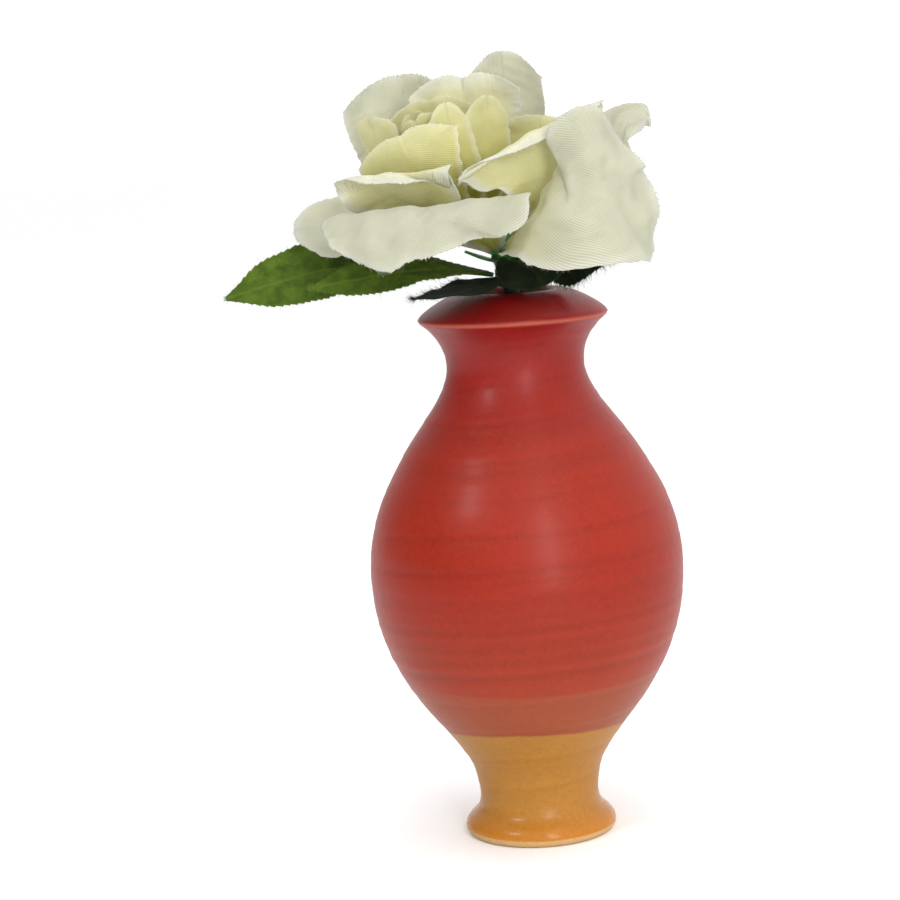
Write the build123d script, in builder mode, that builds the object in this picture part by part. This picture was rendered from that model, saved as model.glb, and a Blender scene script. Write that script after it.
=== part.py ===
"""Hand-thrown stoneware bud vase holding one fabric rose, in millimetres.

The vase stands on its flat foot, centred on the origin, with +Z up. The camera side of the
rose is -Y. The rose is a short covered-wire stem that stands in the vase, a flower head that
turns on the stem's peg, and four fabric leaves on a collar under the head.
"""

import os

from build123d import *

# ---- vase ----
FOOT_RADIUS = 17.2
MOUTH_RADIUS = 9.6
MOUTH_HEIGHT = 132.6
CAVITY_FLOOR = 14.0
# Outside of the wall, foot flange to lip: (radius, height).
OUTER_WALL = [
    (18.4, 1.9),
    (17.4, 4.1),
    (15.2, 6.3),
    (14.4, 9.8),
    (16.0, 17.6),
    (21.2, 25.6),
    (27.4, 33.6),
    (34.5, 46.6),
    (37.8, 64.0),
    (36.3, 76.6),
    (31.3, 88.6),
    (22.9, 101.6),
    (17.8, 109.6),
    (16.5, 115.6),
    (18.5, 121.6),
    (22.3, 125.7),
]
# The bevel that closes the lip in from its edge to the mouth.
LIP_BEVEL = [(22.75, 126.6), (18.3, 130.1), (13.3, 132.2), (11.6, MOUTH_HEIGHT)]
# Inside of the wall, mouth to floor.
INNER_WALL = [
    (10.1, 131.8),
    (MOUTH_RADIUS, 129.6),
    (MOUTH_RADIUS, 118.0),
    (10.6, 112.6),
    (15.2, 106.0),
    (22.0, 97.2),
    (28.6, 86.6),
    (32.6, 75.6),
    (33.8, 64.0),
    (32.6, 53.6),
    (27.6, 40.6),
    (19.6, 29.0),
    (11.8, 18.8),
    (7.2, 15.1),
    (4.0, CAVITY_FLOOR),
]

# ---- stem ----
WIRE_RADIUS = 0.8
STEM_RADIUS = 2.0
STEM_FOOT = CAVITY_FLOOR + 0.3
SHOULDER_RADIUS = 3.0
SHOULDER_HEIGHT = 133.4
SHOULDER_THICKNESS = 1.2
PEG_RADIUS = 1.5
PEG_TOP = 141.0
RUNNING_CLEARANCE = 0.05

# ---- flower head ----
COLLAR_RADIUS = 3.6
COLLAR_BOTTOM = SHOULDER_HEIGHT + SHOULDER_THICKNESS + 0.2
COLLAR_TOP = 137.7
CALYX_TOP = 140.4
SEPAL_ANGLES = (34, 106, 178, 250, 322)
# Sepal rib, as distance from the axis, height, half width and cup.
SEPAL_ROWS = [(2.6, 138.9, 1.4, 0.1), (6.4, 140.0, 2.1, 0.2), (10.6, 141.9, 0.35, 0.0)]
CORE_ROWS = [
    ((0.0, 0.0, 140.7), 3.8),
    ((-1.8, -0.2, 143.6), 3.5),
    ((-5.7, -0.5, 148.5), 2.7),
    ((-9.2, -0.9, 154.0), 1.9),
]
BUD_PIN_TIP = ((-12.9, -1.2, 160.0), 1.1)
CLOTH = 0.4

# ---- petals ----
# Each row is a point on the petal's rib, half the petal's width there, and how far its two
# edges rise above the rib towards the inside of the flower (a minus sign bends them back).
# `across` runs counterclockwise round the flower, at the claw and at the tip.
PETALS = {
    "outer_petal_front": {
        "across": ((0.95, -0.25, 0.0), (0.99, 0.0, 0.0)),
        "rows": [
            (-3.0, -4.6, 142.0, 2.0, 0.3),
            (-7.0, -12.0, 146.4, 8.0, 0.8),
            (-11.5, -20.0, 150.4, 17.5, 0.6),
            (-15.0, -26.6, 153.2, 23.5, -0.6),
            (-19.5, -32.4, 151.8, 23.0, -2.4),
            (-22.8, -36.2, 146.4, 19.0, -3.6),
            (-24.6, -38.0, 139.6, 10.5, -3.0),
        ],
    },
    "outer_petal_right": {
        "across": ((0.75, 0.3, 0.55), (0.12, 0.4, 0.91)),
        "rows": [
            (2.6, -4.4, 141.8, 2.0, 0.3),
            (4.5, -10.5, 146.0, 6.2, 0.8),
            (6.6, -17.6, 150.2, 12.4, 0.8),
            (10.4, -23.0, 153.8, 17.5, 0.0),
            (16.5, -25.0, 156.0, 20.5, -1.0),
            (24.5, -22.0, 158.2, 22.0, -1.5),
            (33.0, -15.0, 159.0, 17.5, -1.0),
        ],
    },
    "outer_petal_right_back": {
        "across": ((0.0, 0.98, 0.2), (-0.15, 0.9, 0.4)),
        "rows": [
            (3.8, 1.2, 142.6, 1.8, 0.3),
            (9.5, 2.4, 148.6, 4.8, 0.8),
            (16.5, 3.4, 157.0, 8.0, 1.2),
            (23.0, 4.0, 165.4, 11.5, 0.0),
            (29.0, 3.4, 170.4, 12.0, -1.0),
            (35.0, 1.6, 170.4, 7.5, -1.0),
        ],
    },
    "outer_petal_back_right": {
        "across": ((-0.95, 0.25, 0.0), (-0.99, 0.1, 0.0)),
        "rows": [
            (-0.4, 4.4, 142.8, 2.0, 0.3),
            (1.2, 11.5, 148.6, 6.0, 1.2),
            (1.2, 18.2, 158.0, 8.6, 1.8),
            (1.1, 22.6, 170.0, 10.0, 1.8),
            (1.1, 25.0, 181.0, 9.6, 1.0),
            (1.1, 25.6, 189.2, 7.8, 0.0),
        ],
    },
    "outer_petal_back_left": {
        "across": ((-0.6, -0.75, 0.0), (-0.96, -0.22, 0.0)),
        "rows": [
            (-5.0, 3.2, 142.8, 2.0, 0.3),
            (-11.0, 9.0, 147.6, 7.0, 1.4),
            (-18.0, 15.2, 156.4, 13.0, 2.4),
            (-22.0, 20.0, 167.0, 16.5, 2.6),
            (-23.5, 23.0, 177.0, 16.2, 1.6),
            (-23.8, 24.0, 185.0, 12.5, 0.8),
        ],
    },
    "outer_petal_left": {
        "across": ((0.0, -1.0, 0.0), (0.3, -0.62, -0.72)),
        "rows": [
            (-5.8, -1.2, 142.4, 1.9, 0.3),
            (-14.0, -1.8, 145.2, 5.6, 0.8),
            (-24.0, -2.4, 149.0, 9.0, 1.0),
            (-35.0, -3.2, 151.8, 12.0, 0.8),
            (-43.0, -3.8, 152.4, 11.0, 0.0),
            (-48.5, -4.0, 151.8, 7.0, -0.5),
        ],
    },
    "middle_petal_right": {
        "across": ((0.8, 0.5, 0.3), (0.86, 0.25, 0.44)),
        "rows": [
            (-0.2, -3.6, 146.4, 1.6, 0.2),
            (5.0, -7.8, 151.6, 5.4, -0.6),
            (8.0, -10.6, 158.4, 10.2, -1.2),
            (7.0, -12.3, 164.9, 16.0, -1.6),
            (6.4, -14.0, 168.4, 17.8, -1.8),
            (7.1, -16.0, 168.2, 17.8, -1.6),
            (8.2, -16.4, 166.3, 15.2, -1.0),
        ],
    },
    "middle_petal_left": {
        "across": ((0.8, -0.55, -0.1), (0.97, -0.1, -0.2)),
        "rows": [
            (-6.6, -4.4, 146.4, 1.6, 0.2),
            (-11.5, -9.0, 149.6, 6.0, 1.0),
            (-18.0, -13.6, 153.0, 11.0, 2.0),
            (-23.4, -16.6, 156.8, 14.0, 2.2),
            (-25.4, -18.4, 159.4, 14.4, 1.2),
            (-26.0, -20.4, 159.4, 14.0, 0.5),
            (-26.2, -21.2, 158.0, 12.0, 0.0),
        ],
    },
    "middle_petal_back": {
        "across": ((-0.9, -0.4, 0.0), (-1.0, 0.0, -0.05)),
        "rows": [
            (-5.6, 3.0, 147.6, 1.6, 0.2),
            (-6.4, 8.0, 152.6, 5.5, 1.2),
            (-7.4, 12.4, 162.0, 10.0, 2.5),
            (-8.4, 14.8, 173.0, 13.0, 2.5),
            (-8.8, 15.4, 184.4, 13.0, 1.2),
        ],
    },
    "middle_petal_back_right": {
        "across": ((-0.85, 0.4, 0.0), (-0.97, 0.0, -0.2)),
        "rows": [
            (-1.0, 2.8, 147.6, 1.6, 0.2),
            (2.6, 4.2, 152.8, 4.5, 0.6),
            (6.0, 5.2, 160.6, 8.0, 1.0),
            (8.6, 5.4, 168.0, 10.6, 1.0),
            (9.4, 5.0, 173.2, 11.0, 0.5),
        ],
    },
    "inner_petal_front": {
        "across": ((0.9, -0.4, 0.0), (0.97, -0.2, -0.05)),
        "rows": [
            (-9.6, -3.4, 151.2, 1.4, 0.2),
            (-13.2, -8.4, 154.6, 5.2, 1.0),
            (-17.6, -12.0, 159.8, 9.4, 2.6),
            (-21.4, -12.8, 166.0, 12.0, 4.0),
            (-23.2, -11.8, 171.8, 11.2, 4.0),
        ],
    },
    "inner_petal_left": {
        "across": ((0.2, -0.98, 0.0), (0.1, -0.99, 0.0)),
        "rows": [
            (-11.0, -0.9, 151.4, 1.2, 0.2),
            (-18.5, -0.2, 154.4, 3.6, 0.6),
            (-26.5, 0.8, 160.4, 5.4, 1.0),
            (-32.0, 1.4, 167.6, 5.8, 1.2),
            (-34.2, 1.6, 174.0, 5.0, 1.0),
        ],
    },
    "inner_petal_back": {
        "across": ((-1.0, 0.1, 0.0), (-1.0, 0.0, 0.0)),
        "rows": [
            (-9.2, 2.8, 152.4, 1.2, 0.2),
            (-11.6, 5.6, 157.0, 4.6, 1.0),
            (-14.2, 7.0, 164.0, 8.5, 2.6),
            (-16.2, 7.4, 172.5, 10.0, 3.0),
            (-17.2, 7.0, 179.0, 9.0, 2.2),
        ],
    },
    "inner_petal_right": {
        "across": ((0.75, 0.65, 0.0), (0.8, 0.6, 0.0)),
        "rows": [
            (-4.8, -1.6, 152.4, 1.2, 0.2),
            (-2.6, -3.0, 157.0, 4.0, 0.5),
            (-2.6, -3.6, 164.0, 6.0, 0.8),
            (-3.0, -2.6, 171.0, 6.4, 0.5),
            (-3.0, -1.2, 178.6, 5.6, 0.2),
        ],
    },
    "inner_petal_front_right": {
        "across": ((0.97, 0.2, 0.0), (0.97, 0.2, 0.0)),
        "rows": [
            (-6.8, -4.2, 153.0, 1.2, 0.2),
            (-7.6, -7.6, 157.0, 3.4, 0.5),
            (-9.6, -9.6, 163.5, 4.6, 0.7),
            (-11.8, -9.0, 171.0, 5.0, 0.6),
            (-12.8, -7.6, 177.6, 4.4, 0.3),
        ],
    },
    "bud_petal_outer": {
        "across": ((1.0, 0.0, 0.0), (1.0, 0.0, 0.0)),
        "rows": [
            (-11.2, -3.8, 157.2, 1.2, 0.2),
            (-13.6, -6.0, 161.2, 3.0, 1.6),
            (-16.8, -6.8, 166.8, 4.6, 3.4),
            (-20.4, -6.9, 174.6, 5.4, 4.2),
        ],
    },
    "bud_petal_inner": {
        "across": ((-1.0, 0.0, 0.0), (-1.0, 0.0, 0.0)),
        "rows": [
            (-13.0, 0.9, 160.4, 0.9, 0.1),
            (-15.2, 1.4, 163.8, 1.7, 1.0),
            (-18.4, 1.3, 168.8, 2.5, 1.8),
            (-21.4, 1.1, 174.4, 2.8, 2.2),
        ],
    },
    "sepal_front": {
        "across": ((0.9, -0.4, 0.0), (1.0, 0.0, 0.0)),
        "rows": [
            (2.6, -5.0, 138.0, 1.2, 0.1),
            (4.6, -8.2, 138.4, 4.0, 0.3),
            (6.8, -11.4, 137.6, 6.4, 0.5),
            (7.4, -13.8, 135.6, 6.4, 0.5),
            (7.6, -14.9, 133.6, 4.6, 0.3),
        ],
    },
}

# ---- leaves ----
LEAVES = {
    "leaf_left": {
        "across": ((0.05, -0.95, -0.25), (0.0, -0.5, -0.87)),
        "rows": [
            (-5.0, -1.0, 136.9, 0.7, 0.0),
            (-16.0, -2.0, 138.4, 4.6, 0.3),
            (-30.0, -2.6, 140.2, 8.4, 0.6),
            (-45.0, -3.4, 139.6, 9.6, 0.8),
            (-58.0, -4.8, 137.0, 6.4, 0.5),
            (-67.4, -6.0, 134.7, 0.5, 0.0),
        ],
    },
    "leaf_front_left": {
        "across": ((0.7, -0.7, -0.2), (0.3, -0.6, -0.74)),
        "rows": [
            (-4.2, -3.6, 136.9, 0.7, 0.0),
            (-11.5, -10.6, 138.6, 3.6, 0.3),
            (-23.0, -16.8, 139.2, 5.6, 0.5),
            (-35.5, -20.0, 138.2, 5.2, 0.4),
            (-46.0, -21.4, 137.0, 0.5, 0.0),
        ],
    },
    "leaf_front": {
        "across": ((0.9, -0.4, 0.0), (0.75, -0.65, -0.1)),
        "rows": [
            (-1.0, -5.2, 136.0, 0.7, 0.0),
            (-4.4, -10.6, 135.5, 5.0, 0.4),
            (-9.8, -15.8, 134.2, 7.0, 0.5),
            (-15.8, -20.4, 133.6, 5.4, 0.3),
            (-22.0, -24.0, 133.4, 0.5, 0.0),
        ],
    },
    "leaf_right": {
        "across": ((0.0, 0.6, 0.8), (0.0, 0.35, 0.94)),
        "rows": [
            (5.0, -1.4, 136.9, 0.7, 0.0),
            (9.8, -3.8, 138.2, 4.4, 0.3),
            (15.8, -7.4, 138.8, 6.2, 0.4),
            (22.8, -11.2, 138.6, 0.5, 0.0),
        ],
    },
}
RIB_HALF_WIDTH = 0.55
RIB_DEPTH = 0.8
RIB_GAP = 0.08
RIB_REACH = 0.9  # share of the leaf's length that the rib runs along

SECTIONS_PER_SPAN = 2


def interpolate(knots, values, at):
    """Value at `at` of the smooth curve through (knots, values), by Hermite spans."""
    last = len(knots) - 1
    slopes = []
    for i in range(last + 1):
        low, high = max(i - 1, 0), min(i + 1, last)
        slopes.append((values[high] - values[low]) / (knots[high] - knots[low]))
    span = max(i for i in range(last) if knots[i] <= at + 1e-9)
    width = knots[span + 1] - knots[span]
    t = (at - knots[span]) / width
    rise = values[span + 1] - values[span]
    blend = t * t * (3 - 2 * t)
    start_pull = t * (1 - t) ** 2 * width * slopes[span]
    end_pull = t * t * (t - 1) * width * slopes[span + 1]
    return values[span] + rise * blend + start_pull + end_pull


def blade_sections(rows, across, reach=1.0):
    """Planes square to the rib with the half width and cup at each, from claw to tip."""
    knots = [0.0]
    for before, after in zip(rows, rows[1:]):
        knots.append(knots[-1] + (Vector(*after[:3]) - Vector(*before[:3])).length)
    steps = SECTIONS_PER_SPAN * (len(rows) - 1)
    step = knots[-1] * 0.002
    sections = []
    for k in range(steps + 1):
        at = knots[-1] * reach * k / steps
        point, before, after = (
            Vector(*(interpolate(knots, [row[i] for row in rows], u) for i in range(3)))
            for u in (at, max(at - step, 0.0), min(at + step, knots[-1]))
        )
        tangent = (after - before).normalized()
        side = Vector(*across[0]) * (1 - k / steps) + Vector(*across[1]) * (k / steps)
        side = side - tangent * side.dot(tangent)
        half_width = interpolate(knots, [row[3] for row in rows], at)
        cup = interpolate(knots, [row[4] for row in rows], at)
        sections.append((Plane(point, x_dir=side, z_dir=tangent), half_width, cup))
    return sections


def blade(rows, across, thickness=CLOTH):
    """A thin leaf of cloth or plastic lofted through arc-shaped strips."""
    with BuildPart() as sheet:
        for plane, half_width, cup in blade_sections(rows, across):
            with BuildSketch(plane):
                with BuildLine():
                    left, right = (-half_width, cup), (half_width, cup)
                    top_left = (-half_width, cup + thickness)
                    top_right = (half_width, cup + thickness)
                    if abs(cup) < 0.02:
                        Polyline(left, right, top_right, top_left, close=True)
                    else:
                        ThreePointArc(left, (0, 0), right)
                        Line(right, top_right)
                        ThreePointArc(top_right, (0, thickness), top_left)
                        Line(top_left, left)
                make_face()
        loft()
    return sheet.part


def leaf_rib(rows, across):
    """The moulded rib bonded under a leaf, flat on top and tapered to the tip."""
    with BuildPart() as rib:
        sections = blade_sections(rows, across, reach=RIB_REACH)
        for k, (plane, _, _) in enumerate(sections):
            taper = 1 - 0.6 * k / (len(sections) - 1)
            with BuildSketch(plane):
                with BuildLine():
                    left = (-RIB_HALF_WIDTH * taper, -RIB_GAP)
                    right = (RIB_HALF_WIDTH * taper, -RIB_GAP)
                    Line(left, right)
                    ThreePointArc(right, (0, -RIB_GAP - RIB_DEPTH * taper), left)
                make_face()
        loft()
    return rib.part


def ring(outer, inner, bottom, top, round_off):
    """A plain collar round the axis with softened outer edges."""
    with BuildPart() as collar:
        with BuildSketch(Plane.XY.offset(bottom)):
            Circle(outer)
            Circle(inner, mode=Mode.SUBTRACT)
        extrude(amount=top - bottom)
        rims = collar.edges().filter_by(GeomType.CIRCLE).group_by(SortBy.RADIUS)[-1]
        fillet(rims, round_off)
    return collar.part


# ---- vase_body: one thrown wall, closed at the foot and open at the mouth ----
with BuildPart() as vase_body:
    with BuildSketch(Plane.XZ):
        with BuildLine():
            Line((0, 0), (FOOT_RADIUS, 0))
            ThreePointArc((FOOT_RADIUS, 0), (18.1, 0.8), OUTER_WALL[0])
            Spline(*OUTER_WALL)
            ThreePointArc(OUTER_WALL[-1], (22.7, 126.1), LIP_BEVEL[0])
            Spline(*LIP_BEVEL)
            ThreePointArc(LIP_BEVEL[-1], (10.5, 132.4), INNER_WALL[0])
            Spline(*INNER_WALL)
            Line(INNER_WALL[-1], (0, CAVITY_FLOOR))
            Line((0, CAVITY_FLOOR), (0, 0))
        make_face()
    revolve(axis=Axis.Z)

# ---- stem_wire: steel core ----
with BuildPart() as stem_wire:
    with BuildSketch(Plane.XY.offset(STEM_FOOT)):
        Circle(WIRE_RADIUS)
    extrude(amount=SHOULDER_HEIGHT - STEM_FOOT)

# ---- stem_sheath: moulded cover with a shoulder and the peg for the head ----
with BuildPart() as stem_sheath:
    with BuildSketch(Plane.XY.offset(STEM_FOOT)):
        Circle(STEM_RADIUS)
    extrude(amount=SHOULDER_HEIGHT - STEM_FOOT)
    with BuildSketch(Plane.XY.offset(SHOULDER_HEIGHT)):
        Circle(SHOULDER_RADIUS)
    extrude(amount=SHOULDER_THICKNESS)
    with BuildSketch(Plane.XY.offset(SHOULDER_HEIGHT + SHOULDER_THICKNESS)):
        Circle(PEG_RADIUS)
    extrude(amount=PEG_TOP - SHOULDER_HEIGHT - SHOULDER_THICKNESS)
    chamfer(stem_sheath.faces().sort_by(Axis.Z)[-1].edges(), 0.3)
    with BuildSketch(Plane.XY.offset(STEM_FOOT)):
        Circle(WIRE_RADIUS)
    extrude(amount=SHOULDER_HEIGHT - STEM_FOOT, mode=Mode.SUBTRACT)

# ---- leaf_collar: ring that holds the four leaf stalks ----
leaf_collar = ring(
    COLLAR_RADIUS, PEG_RADIUS + RUNNING_CLEARANCE, COLLAR_BOTTOM, COLLAR_TOP, 0.4
)

# ---- calyx: moulded cup with five sepals under the petals ----
sepals = [
    blade(
        [
            (*(Vector(r, 0, z).rotate(Axis.Z, angle)), half_width, cup)
            for r, z, half_width, cup in SEPAL_ROWS
        ],
        [Vector(0, 1, 0).rotate(Axis.Z, angle)] * 2,
        thickness=0.6,
    )
    for angle in SEPAL_ANGLES
]
with BuildPart() as calyx:
    with BuildSketch(Plane.XY.offset(COLLAR_TOP)):
        Circle(3.2)
    with BuildSketch(Plane.XY.offset(CALYX_TOP)):
        Circle(4.4)
    loft()
    for sepal in sepals:
        add(sepal)
    with BuildSketch(Plane.XY.offset(COLLAR_TOP)):
        Circle(PEG_RADIUS + RUNNING_CLEARANCE)
    extrude(amount=CALYX_TOP - COLLAR_TOP, mode=Mode.SUBTRACT)

# ---- flower_core: moulded pin that the petal claws are glued round ----
with BuildPart() as flower_core:
    for (centre, radius), (ahead, _) in zip(CORE_ROWS, CORE_ROWS[1:] + [BUD_PIN_TIP]):
        upright = centre == CORE_ROWS[0][0]
        lean = (0, 0, 1) if upright else Vector(*ahead) - Vector(*centre)
        with BuildSketch(Plane(centre, x_dir=(0, 1, 0), z_dir=lean)):
            Circle(radius)
    loft()
    with BuildSketch(Plane.XY.offset(CORE_ROWS[0][0][2])):
        Circle(PEG_RADIUS + RUNNING_CLEARANCE)
    extrude(amount=PEG_TOP + 0.4 - CORE_ROWS[0][0][2], mode=Mode.SUBTRACT)

# ---- bud_pin: short cone on the core that the bud is wrapped on ----
with BuildPart() as bud_pin:
    (start, start_radius), (tip, tip_radius) = CORE_ROWS[-1], BUD_PIN_TIP
    lean = Vector(*tip) - Vector(*start)
    for centre, radius in ((start, start_radius), (tip, tip_radius)):
        with BuildSketch(Plane(centre, x_dir=(0, 1, 0), z_dir=lean)):
            Circle(radius)
    loft()

# ---- write every piece ----
pieces = {
    "vase_body": vase_body.part,
    "stem_wire": stem_wire.part,
    "stem_sheath": stem_sheath.part,
    "leaf_collar": leaf_collar,
    "calyx": calyx.part,
    "flower_core": flower_core.part,
    "bud_pin": bud_pin.part,
}
for name, shape in PETALS.items():
    pieces[name] = blade(shape["rows"], shape["across"])
for name, shape in LEAVES.items():
    pieces[name] = blade(shape["rows"], shape["across"])
    pieces[name + "_rib"] = leaf_rib(shape["rows"], shape["across"])

os.makedirs("parts", exist_ok=True)
for name, piece in pieces.items():
    piece.label = name
    export_step(piece, f"parts/{name}.step")
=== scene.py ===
"""Looks of the stoneware bud vase and its fabric rose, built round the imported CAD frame.

Sizes in the tables are millimetres in the part's frame: the vase's axis is Z, its foot is at
z = 0, and the front of the rose is -Y.
"""

import math

import bpy
import numpy as np
from mathutils import Matrix, Vector


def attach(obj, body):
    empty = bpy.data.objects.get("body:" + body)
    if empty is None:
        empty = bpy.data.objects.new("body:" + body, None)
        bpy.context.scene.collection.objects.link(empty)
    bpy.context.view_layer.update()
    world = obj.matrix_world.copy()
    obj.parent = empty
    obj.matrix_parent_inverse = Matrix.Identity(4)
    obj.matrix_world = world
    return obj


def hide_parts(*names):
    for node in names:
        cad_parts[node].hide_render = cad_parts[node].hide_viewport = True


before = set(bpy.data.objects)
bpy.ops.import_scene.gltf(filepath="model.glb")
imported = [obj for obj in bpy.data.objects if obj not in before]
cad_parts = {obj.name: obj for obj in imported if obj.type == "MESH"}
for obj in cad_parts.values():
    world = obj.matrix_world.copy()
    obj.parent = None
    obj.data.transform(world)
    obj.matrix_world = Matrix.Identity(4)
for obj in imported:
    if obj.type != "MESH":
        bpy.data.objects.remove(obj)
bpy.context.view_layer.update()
MM = 0.001

# ---- camera and room ----
CAMERA_PLACE = (0.0, -596.0, 179.6)
# Degrees that the camera looks down, is turned to the left and is rolled.
CAMERA_DOWN = 8.1
CAMERA_LEFT = 1.62
CAMERA_ROLL = 3.5
LENS = 100.0
SENSOR_WIDTH = 36.0
# The white room's strength far left and elsewhere, and the directions between which it changes.
ROOM_LEFT, ROOM_RIGHT = 0.25, 1.18
ROOM_TURNS_FROM, ROOM_TURNS_TO = -0.9, -0.25
FLOOR_HALF_WIDTH = 6.0

# ---- vase outline, outside from foot to lip, bevel, then inside: (radius, height) ----
FOOT = [(0.0, 0.0), (14.0, 0.0), (17.2, 0.05), (17.9, 0.5), (18.25, 1.1), (18.4, 1.9)]
FLANGE = [(18.2, 2.9), (17.4, 4.1), (16.2, 5.2), (15.2, 6.3), (14.6, 7.8), (14.4, 9.8)]
BELLY = [
    (14.9, 13.6),
    (16.0, 17.6),
    (18.4, 21.7),
    (21.2, 25.6),
    (27.4, 33.6),
    (31.5, 40.2),
    (34.5, 46.6),
    (36.9, 55.0),
    (37.8, 64.0),
    (37.5, 70.5),
    (36.3, 76.6),
    (34.2, 82.8),
    (31.3, 88.6),
    (27.3, 95.4),
    (22.9, 101.6),
    (19.9, 105.8),
    (17.8, 109.6),
    (16.7, 112.8),
    (16.5, 115.6),
    (17.1, 118.8),
    (18.5, 121.6),
    (20.6, 124.2),
]
LIP = [
    (22.3, 125.6),
    (22.75, 126.1),
    (22.6, 126.8),
    (20.8, 128.4),
    (18.3, 130.0),
    (15.8, 131.3),
    (13.3, 132.2),
    (11.8, 132.5),
    (10.6, 132.3),
    (9.9, 131.5),
]
INSIDE = [
    (9.6, 129.6),
    (9.6, 118.0),
    (10.6, 112.6),
    (15.2, 106.0),
    (22.0, 97.2),
    (28.6, 86.6),
    (32.6, 75.6),
    (33.8, 64.0),
    (32.6, 53.6),
    (27.6, 40.6),
    (19.6, 29.0),
    (11.8, 18.8),
    (7.2, 15.1),
    (4.0, 14.0),
    (0.0, 14.0),
]
VASE_TURNS = 256  # points round the vase
VASE_STEP = 0.85  # between points along the outline
# Throwing marks: height at the front, depth, half height, and how far round they reach.
GROOVES = [
    (93.0, 0.10, 1.5, 1.2),
    (88.5, 0.06, 1.0, 1.6),
    (71.5, 0.12, 1.1, 1.5),
    (68.5, 0.07, 0.8, 1.1),
    (64.0, 0.13, 1.0, 1.7),
    (60.2, 0.08, 0.8, 1.3),
    (57.0, 0.14, 1.2, 1.7),
    (53.0, 0.10, 0.9, 1.3),
    (49.4, 0.12, 1.1, 1.6),
    (45.4, 0.13, 0.9, 1.8),
    (101.0, 0.06, 1.2, 1.4),
    (79.0, 0.06, 1.2, 1.2),
]
GROOVE_SLOPE = 1.3  # how far a throwing mark climbs per radian round the vase
RIPPLE_DEPTH = 0.018  # of the fine spiral ripples between the marks
WALL_WOBBLE = 0.05  # how far the thrown wall wanders from a true circle

# Heights in metres where the glaze changes: bare clay to amber, amber to orange, orange to red.
BARE_LINE = (0.0021, 0.0015)
ORANGE_LINE = (0.0258, 0.0266)
RED_LINE = (0.0400, 0.0411)
LIP_EDGE_HEIGHT = 0.1261

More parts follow.
